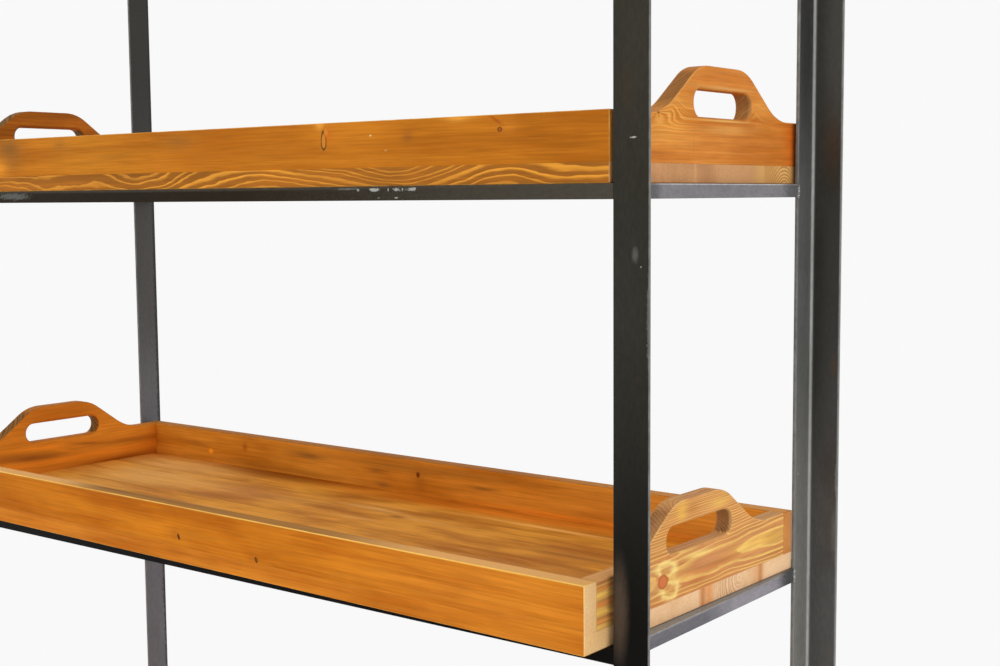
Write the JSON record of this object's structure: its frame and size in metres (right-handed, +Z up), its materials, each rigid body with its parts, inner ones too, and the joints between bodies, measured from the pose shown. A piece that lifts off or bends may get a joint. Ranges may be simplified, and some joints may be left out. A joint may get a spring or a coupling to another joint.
{
  "type": "shelving unit",
  "caption": "Tall welded steel angle shelving frame whose levels carry loose wooden trays with raised hand-hole ends; each tray slides out forward over its rails.",
  "frame": {"origin": "on the floor, under the middle of the box round the whole unit at rest, with the second tray drawn about 25 mm forward and a little askew", "axes": "+Z up, the front faces -Y, +X to the right as seen from the front"},
  "size_m": [1.268, 0.4602, 1.654],
  "materials": {
    "black_steel": "blackened hot-rolled steel under clear satin lacquer, with worn bright edges",
    "stained_pine": "honey-orange stained softwood with strong growth rings, satin",
    "glide_rubber": "matt black"
  },
  "bodies": {
    "frame": {"post_front_left": "black_steel", "foot_plate_front_left": "black_steel", "glide_front_left": "glide_rubber", "post_front_right": "black_steel", "foot_plate_front_right": "black_steel", "glide_front_right": "glide_rubber", "post_back_left": "black_steel", "foot_plate_back_left": "black_steel", "glide_back_left": "glide_rubber", "post_back_right": "black_steel", "foot_plate_back_right": "black_steel", "glide_back_right": "glide_rubber", "rail_1_front": "black_steel", "rail_1_back": "black_steel", "rail_1_left": "black_steel", "rail_1_right": "black_steel", "rail_2_front": "black_steel", "rail_2_back": "black_steel", "rail_2_left": "black_steel", "rail_2_right": "black_steel", "rail_3_front": "black_steel", "rail_3_back": "black_steel", "rail_3_left": "black_steel", "rail_3_right": "black_steel", "rail_4_front": "black_steel", "rail_4_back": "black_steel", "rail_4_left": "black_steel", "rail_4_right": "black_steel"},
    "tray_1": {"tray_1_plank_1": "stained_pine", "tray_1_plank_2": "stained_pine", "tray_1_plank_3": "stained_pine", "tray_1_plank_4": "stained_pine", "tray_1_front_board": "stained_pine", "tray_1_back_board": "stained_pine", "tray_1_left_end": "stained_pine", "tray_1_right_end": "stained_pine"},
    "tray_2": {"tray_2_plank_1": "stained_pine", "tray_2_plank_2": "stained_pine", "tray_2_plank_3": "stained_pine", "tray_2_plank_4": "stained_pine", "tray_2_front_board": "stained_pine", "tray_2_back_board": "stained_pine", "tray_2_left_end": "stained_pine", "tray_2_right_end": "stained_pine"},
    "tray_3": {"tray_3_plank_1": "stained_pine", "tray_3_plank_2": "stained_pine", "tray_3_plank_3": "stained_pine", "tray_3_plank_4": "stained_pine", "tray_3_front_board": "stained_pine", "tray_3_back_board": "stained_pine", "tray_3_left_end": "stained_pine", "tray_3_right_end": "stained_pine"},
    "tray_4": {"tray_4_plank_1": "stained_pine", "tray_4_plank_2": "stained_pine", "tray_4_plank_3": "stained_pine", "tray_4_plank_4": "stained_pine", "tray_4_front_board": "stained_pine", "tray_4_back_board": "stained_pine", "tray_4_left_end": "stained_pine", "tray_4_right_end": "stained_pine"}
  },
  "joints": [
    {"name": "tray_1_slide", "type": "slide", "parent": "frame", "child": "tray_1", "axis": [0, -1, 0], "range_m": [0, 0.44]},
    {"name": "tray_2_slide", "type": "slide", "parent": "frame", "child": "tray_2", "axis": [0, -1, 0], "range_m": [-0.0245, 0.4155]},
    {"name": "tray_3_slide", "type": "slide", "parent": "frame", "child": "tray_3", "axis": [0, -1, 0], "range_m": [0, 0.44]},
    {"name": "tray_4_slide", "type": "slide", "parent": "frame", "child": "tray_4", "axis": [0, -1, 0], "range_m": [0, 0.44]}
  ]
}
